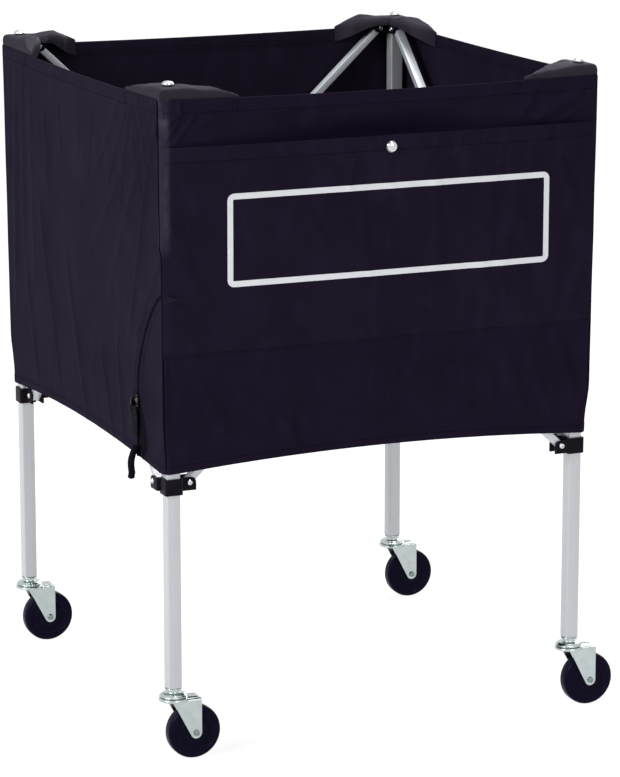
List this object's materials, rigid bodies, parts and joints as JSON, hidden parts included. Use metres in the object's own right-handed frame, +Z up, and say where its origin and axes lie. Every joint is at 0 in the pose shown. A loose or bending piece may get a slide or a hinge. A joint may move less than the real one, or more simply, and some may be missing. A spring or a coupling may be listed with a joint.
{
  "type": "folding ball cart",
  "caption": "Square fabric bag for balls on a folding aluminium frame with crossed bars and swivel casters.",
  "frame": {"origin": "on the floor under the middle of the whole cart's box", "axes": "+Z up; -Y is out of the front, the side with the pocket; -X is out of the side with the zip"},
  "size_m": [0.6934, 0.6478, 0.9235],
  "materials": {
    "aluminium": "satin",
    "zinc": "bright zinc plating",
    "chrome": "polished",
    "black_plastic": "satin moulding",
    "black_rubber": "smooth",
    "black_cloth": "coated plain weave",
    "pocket_cloth": "coated plain weave",
    "zip_black": "glossy"
  },
  "bodies": {
    "fork_back_left": {"axle_bolt_back_left": "zinc", "caster_fork_back_left": "zinc"},
    "fork_back_right": {"axle_bolt_back_right": "zinc", "caster_fork_back_right": "zinc"},
    "fork_front_left": {"axle_bolt_front_left": "zinc", "caster_fork_front_left": "zinc"},
    "fork_front_right": {"axle_bolt_front_right": "zinc", "caster_fork_front_right": "zinc"},
    "leg_back_left": {"bag_back": "black_cloth", "caster_stem_back_left": "zinc", "hood_back_left": "black_cloth", "leg_back_left": "aluminium", "snap_back_left": "chrome", "top_bracket_back_left": "black_plastic"},
    "leg_front_left": {"bag_front": "black_cloth", "bag_left": "black_cloth", "caster_stem_front_left": "zinc", "hood_front_left": "black_cloth", "leg_front_left": "aluminium", "pocket": "pocket_cloth", "pocket_snap": "chrome", "snap_front_left": "chrome", "top_bracket_front_left": "black_plastic"},
    "leg_front_right": {"bag_right": "black_cloth", "caster_stem_front_right": "zinc", "hood_front_right": "black_cloth", "leg_front_right": "aluminium", "snap_front_right": "chrome", "top_bracket_front_right": "black_plastic"},
    "leg_back_right": {"caster_stem_back_right": "zinc", "hood_back_right": "black_cloth", "leg_back_right": "aluminium", "snap_back_right": "chrome", "top_bracket_back_right": "black_plastic"},
    "outer_bar_back": {"crossing_pin_back": "zinc", "outer_bar_back": "aluminium"},
    "outer_bar_front": {"crossing_pin_front": "zinc", "outer_bar_front": "aluminium"},
    "outer_bar_left": {"crossing_pin_left": "zinc", "outer_bar_left": "aluminium"},
    "outer_bar_right": {"crossing_pin_right": "zinc", "outer_bar_right": "aluminium"},
    "floor_back": {"floor_back": "black_cloth"},
    "floor_front": {"floor_front": "black_cloth"},
    "floor_left": {"floor_left": "black_cloth"},
    "floor_right": {"floor_right": "black_cloth"},
    "inner_bar_back": {"inner_bar_back": "aluminium"},
    "inner_bar_front": {"inner_bar_front": "aluminium"},
    "inner_bar_left": {"inner_bar_left": "aluminium"},
    "inner_bar_right": {"inner_bar_right": "aluminium"},
    "low_back_left": {"low_bracket_back_left": "black_plastic"},
    "low_back_right": {"low_bracket_back_right": "black_plastic"},
    "low_front_left": {"low_bracket_front_left": "black_plastic"},
    "low_front_right": {"low_bracket_front_right": "black_plastic"},
    "wheel_back_left": {"wheel_back_left": "black_rubber"},
    "wheel_back_right": {"wheel_back_right": "black_rubber"},
    "wheel_front_left": {"wheel_front_left": "black_rubber"},
    "wheel_front_right": {"wheel_front_right": "black_rubber"},
    "zip_pull": {"zip_pull": "zip_black"},
    "zip_slider": {"zip_slider": "zip_black"}
  },
  "joints": [
    {"name": "fold", "type": "hinge", "parent": "leg_front_left", "child": "outer_bar_front", "pos_m": [-0.29325, -0.30367, 0.8995], "axis": [0, 1, 0], "range_deg": [0, 34], "deforming": ["bag_front", "bag_right", "bag_back", "bag_left", "pocket", "hood_front_left", "hood_front_right", "hood_back_right", "hood_back_left", "floor_front", "floor_right", "floor_back", "floor_left"]},
    {"name": "cross_front", "type": "hinge", "parent": "outer_bar_front", "child": "inner_bar_front", "pos_m": [-0.01825, -0.29017, 0.642], "axis": [0, -1, 0], "range_deg": [0, 69]},
    {"name": "top_front_right", "type": "hinge", "parent": "inner_bar_front", "child": "leg_front_right", "pos_m": [0.25675, -0.29017, 0.8995], "axis": [0, 1, 0], "range_deg": [0, 34.5]},
    {"name": "low_front_left", "type": "hinge", "parent": "inner_bar_front", "child": "low_front_left", "pos_m": [-0.29325, -0.29017, 0.3845], "axis": [0, 1, 0], "range_deg": [0, 34.5]},
    {"name": "low_front_right", "type": "hinge", "parent": "outer_bar_front", "child": "low_front_right", "pos_m": [0.25675, -0.30367, 0.3845], "axis": [0, -1, 0], "range_deg": [0, 34.5]},
    {"name": "top_left_side", "type": "hinge", "parent": "leg_front_left", "child": "inner_bar_left", "pos_m": [-0.3115, -0.27192, 0.8995], "axis": [-1, 0, 0], "range_deg": [0, 34.5]},
    {"name": "cross_left", "type": "hinge", "parent": "inner_bar_left", "child": "outer_bar_left", "pos_m": [-0.325, 0.00308, 0.642], "axis": [1, 0, 0], "range_deg": [0, 69]},
    {"name": "top_back_left", "type": "hinge", "parent": "outer_bar_left", "child": "leg_back_left", "pos_m": [-0.325, 0.27808, 0.8995], "axis": [-1, 0, 0], "range_deg": [0, 34.5]},
    {"name": "low_back_left", "type": "hinge", "parent": "inner_bar_left", "child": "low_back_left", "pos_m": [-0.3115, 0.27808, 0.3845], "axis": [1, 0, 0], "range_deg": [0, 34.5]},
    {"name": "top_right_side", "type": "hinge", "parent": "leg_front_right", "child": "outer_bar_right", "pos_m": [0.2885, -0.27192, 0.8995], "axis": [-1, 0, 0], "range_deg": [0, 34.5]},
    {"name": "cross_right", "type": "hinge", "parent": "outer_bar_right", "child": "inner_bar_right", "pos_m": [0.275, 0.00308, 0.642], "axis": [1, 0, 0], "range_deg": [0, 69]},
    {"name": "top_back_right", "type": "hinge", "parent": "inner_bar_right", "child": "leg_back_right", "pos_m": [0.275, 0.27808, 0.8995], "axis": [-1, 0, 0], "range_deg": [0, 34.5]},
    {"name": "low_back_right", "type": "hinge", "parent": "outer_bar_right", "child": "low_back_right", "pos_m": [0.2885, 0.27808, 0.3845], "axis": [1, 0, 0], "range_deg": [0, 34.5]},
    {"name": "top_back_side", "type": "hinge", "parent": "leg_back_left", "child": "inner_bar_back", "pos_m": [-0.29325, 0.29633, 0.8995], "axis": [0, 1, 0], "range_deg": [0, 34.5]},
    {"name": "cross_back", "type": "hinge", "parent": "inner_bar_back", "child": "outer_bar_back", "pos_m": [-0.01825, 0.30983, 0.642], "axis": [0, -1, 0], "range_deg": [0, 69]},
    {"name": "floor_front_flap", "type": "hinge", "parent": "leg_front_left", "child": "floor_front", "pos_m": [-0.01825, -0.31155, 0.418], "axis": [1, 0, 0], "range_deg": [0, 68]},
    {"name": "floor_right_flap", "type": "hinge", "parent": "leg_front_right", "child": "floor_right", "pos_m": [0.29638, 0.00308, 0.418], "axis": [0, 1, 0], "range_deg": [0, 68]},
    {"name": "floor_back_flap", "type": "hinge", "parent": "leg_back_left", "child": "floor_back", "pos_m": [-0.01825, 0.31772, 0.418], "axis": [-1, 0, 0], "range_deg": [0, 68]},
    {"name": "floor_left_flap", "type": "hinge", "parent": "leg_front_left", "child": "floor_left", "pos_m": [-0.33289, 0.00308, 0.418], "axis": [0, -1, 0], "range_deg": [0, 68]},
    {"name": "swivel_front_left", "type": "hinge", "parent": "leg_front_left", "child": "fork_front_left", "pos_m": [-0.31825, -0.29692, 0.0835], "axis": [0, 0, 1], "continuous": true},
    {"name": "roll_front_left", "type": "hinge", "parent": "fork_front_left", "child": "wheel_front_left", "pos_m": [-0.29025, -0.29692, 0.0375], "axis": [0, 1, 0], "continuous": true},
    {"name": "swivel_front_right", "type": "hinge", "parent": "leg_front_right", "child": "fork_front_right", "pos_m": [0.28175, -0.29692, 0.0835], "axis": [0, 0, 1], "continuous": true},
    {"name": "roll_front_right", "type": "hinge", "parent": "fork_front_right", "child": "wheel_front_right", "pos_m": [0.30975, -0.29692, 0.0375], "axis": [0, 1, 0], "continuous": true},
    {"name": "swivel_back_right", "type": "hinge", "parent": "leg_back_right", "child": "fork_back_right", "pos_m": [0.28175, 0.30308, 0.0835], "axis": [0, 0, 1], "continuous": true},
    {"name": "roll_back_right", "type": "hinge", "parent": "fork_back_right", "child": "wheel_back_right", "pos_m": [0.30975, 0.30308, 0.0375], "axis": [0, 1, 0], "continuous": true},
    {"name": "swivel_back_left", "type": "hinge", "parent": "leg_back_left", "child": "fork_back_left", "pos_m": [-0.31825, 0.30308, 0.0835], "axis": [0, 0, 1], "continuous": true},
    {"name": "roll_back_left", "type": "hinge", "parent": "fork_back_left", "child": "wheel_back_left", "pos_m": [-0.29025, 0.30308, 0.0375], "axis": [0, 1, 0], "continuous": true},
    {"name": "zip_run", "type": "hinge", "parent": "leg_front_left", "child": "zip_slider", "pos_m": [-0.33508, -0.43192, 0.47], "axis": [1, 0, 0.0076], "range_deg": [-3.8, 45]},
    {"name": "pull_swing", "type": "hinge", "parent": "zip_slider", "child": "zip_pull", "pos_m": [-0.34309, -0.22238, 0.48385], "axis": [-0.3746, 0.9272, -0.0028], "range_deg": [0, 120]}
  ],
  "couplings": [
    {"joint": "cross_front", "follows": "fold", "ratio": 2},
    {"joint": "top_front_right", "follows": "fold", "ratio": 1},
    {"joint": "low_front_left", "follows": "fold", "ratio": 1},
    {"joint": "low_front_right", "follows": "fold", "ratio": 1},
    {"joint": "top_left_side", "follows": "fold", "ratio": 1},
    {"joint": "cross_left", "follows": "fold", "ratio": 2},
    {"joint": "top_back_left", "follows": "fold", "ratio": 1},
    {"joint": "low_back_left", "follows": "fold", "ratio": 1},
    {"joint": "top_right_side", "follows": "fold", "ratio": 1},
    {"joint": "cross_right", "follows": "fold", "ratio": 2},
    {"joint": "top_back_right", "follows": "fold", "ratio": 1},
    {"joint": "low_back_right", "follows": "fold", "ratio": 1},
    {"joint": "top_back_side", "follows": "fold", "ratio": 1},
    {"joint": "cross_back", "follows": "fold", "ratio": 2},
    {"joint": "floor_front_flap", "follows": "fold", "ratio": 1.9706},
    {"joint": "floor_right_flap", "follows": "fold", "ratio": 1.9706},
    {"joint": "floor_back_flap", "follows": "fold", "ratio": 1.9706},
    {"joint": "floor_left_flap", "follows": "fold", "ratio": 1.9706}
  ]
}
